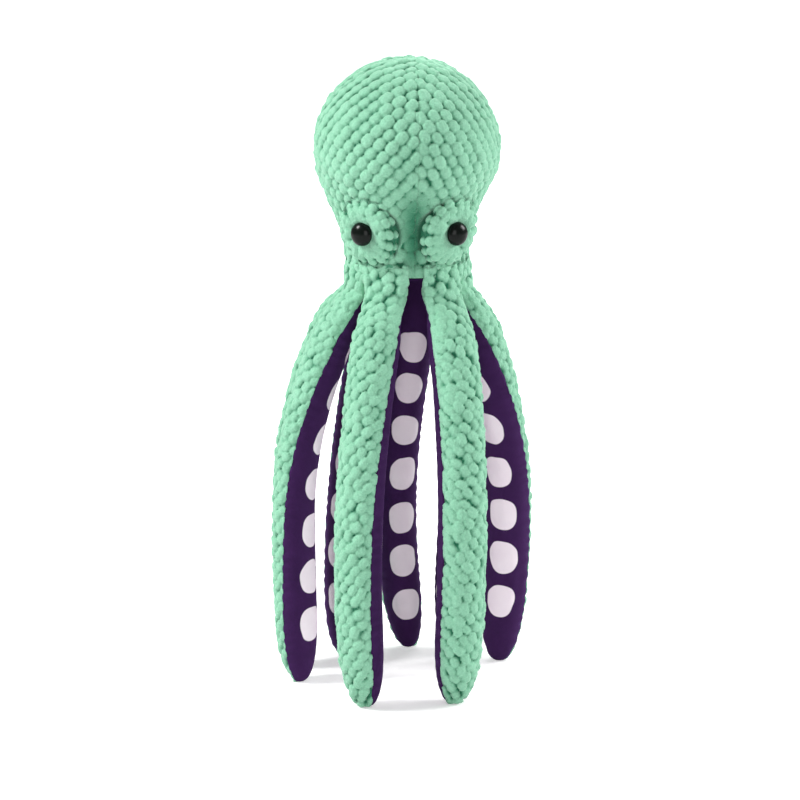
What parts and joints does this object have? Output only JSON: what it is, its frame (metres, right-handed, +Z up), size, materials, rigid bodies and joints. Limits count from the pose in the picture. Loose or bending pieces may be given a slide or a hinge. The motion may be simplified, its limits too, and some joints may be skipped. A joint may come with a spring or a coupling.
{
  "type": "plush octopus",
  "caption": "Plush octopus with a mint bobbled head and arms, purple spotted insides and black domed eyes, standing on its arm tips.",
  "frame": {"origin": "on the table, under the middle of the toy as it stands", "axes": "+Z up, the face looks along -Y, +X to the right of someone who looks at the face"},
  "size_m": [0.1344, 0.1336, 0.323],
  "materials": {
    "mint_plush": "bobbled short-pile plush",
    "purple_velboa": "short smooth pile with printed pale spots",
    "filling": "loose polyester fibre",
    "black_plastic": "polished",
    "washer_plastic": "as moulded"
  },
  "bodies": {
    "head": {"head_left_cover": "mint_plush", "head_right_cover": "mint_plush", "head_filling": "filling", "base_patch": "purple_velboa", "eye_pad_left": "mint_plush", "eye_pad_filling_left": "filling", "eye_left": "black_plastic", "eye_washer_left": "washer_plastic", "eye_pad_right": "mint_plush", "eye_pad_filling_right": "filling", "eye_right": "black_plastic", "eye_washer_right": "washer_plastic"},
    "arm_front_left": {"arm_front_left_outer": "mint_plush", "arm_front_left_inner": "purple_velboa", "arm_front_left_filling": "filling"},
    "arm_front_right": {"arm_front_right_outer": "mint_plush", "arm_front_right_inner": "purple_velboa", "arm_front_right_filling": "filling"},
    "arm_side_left": {"arm_side_left_outer": "mint_plush", "arm_side_left_inner": "purple_velboa", "arm_side_left_filling": "filling"},
    "arm_side_right": {"arm_side_right_outer": "mint_plush", "arm_side_right_inner": "purple_velboa", "arm_side_right_filling": "filling"},
    "arm_rear_left": {"arm_rear_left_outer": "mint_plush", "arm_rear_left_inner": "purple_velboa", "arm_rear_left_filling": "filling"},
    "arm_rear_right": {"arm_rear_right_outer": "mint_plush", "arm_rear_right_inner": "purple_velboa", "arm_rear_right_filling": "filling"},
    "arm_back_left": {"arm_back_left_outer": "mint_plush", "arm_back_left_inner": "purple_velboa", "arm_back_left_filling": "filling"},
    "arm_back_right": {"arm_back_right_outer": "mint_plush", "arm_back_right_inner": "purple_velboa", "arm_back_right_filling": "filling"}
  },
  "joints": [
    {"name": "arm_front_left_swing", "type": "hinge", "parent": "head", "child": "arm_front_left", "pos_m": [-0.00945, -0.02542, 0.206], "axis": [-0.8949, 0.4462, 0], "range_deg": [-3, 60]},
    {"name": "arm_front_right_swing", "type": "hinge", "parent": "head", "child": "arm_front_right", "pos_m": [0.01887, -0.02244, 0.206], "axis": [-0.7826, -0.6225, 0], "range_deg": [-3, 60]},
    {"name": "arm_side_left_swing", "type": "hinge", "parent": "head", "child": "arm_side_left", "pos_m": [-0.02261, -0.01055, 0.206], "axis": [-0.3338, 0.9426, 0], "range_deg": [-3, 55]},
    {"name": "arm_side_right_swing", "type": "hinge", "parent": "head", "child": "arm_side_right", "pos_m": [0.02864, -0.00516, 0.206], "axis": [-0.1305, -0.9914, 0], "range_deg": [-3, 60]},
    {"name": "arm_rear_left_swing", "type": "hinge", "parent": "head", "child": "arm_rear_left", "pos_m": [-0.02211, 0.00844, 0.206], "axis": [0.3827, 0.9239, 0], "range_deg": [-3, 55]},
    {"name": "arm_rear_right_swing", "type": "hinge", "parent": "head", "child": "arm_rear_right", "pos_m": [0.02421, 0.01331, 0.206], "axis": [0.5664, -0.8241, 0], "range_deg": [-3, 60]},
    {"name": "arm_back_left_swing", "type": "hinge", "parent": "head", "child": "arm_back_left", "pos_m": [-0.00945, 0.02201, 0.206], "axis": [0.8949, 0.4462, 0], "range_deg": [-3, 60]},
    {"name": "arm_back_right_swing", "type": "hinge", "parent": "head", "child": "arm_back_right", "pos_m": [0.00901, 0.02395, 0.206], "axis": [0.9681, -0.2504, 0], "range_deg": [-3, 60]}
  ]
}
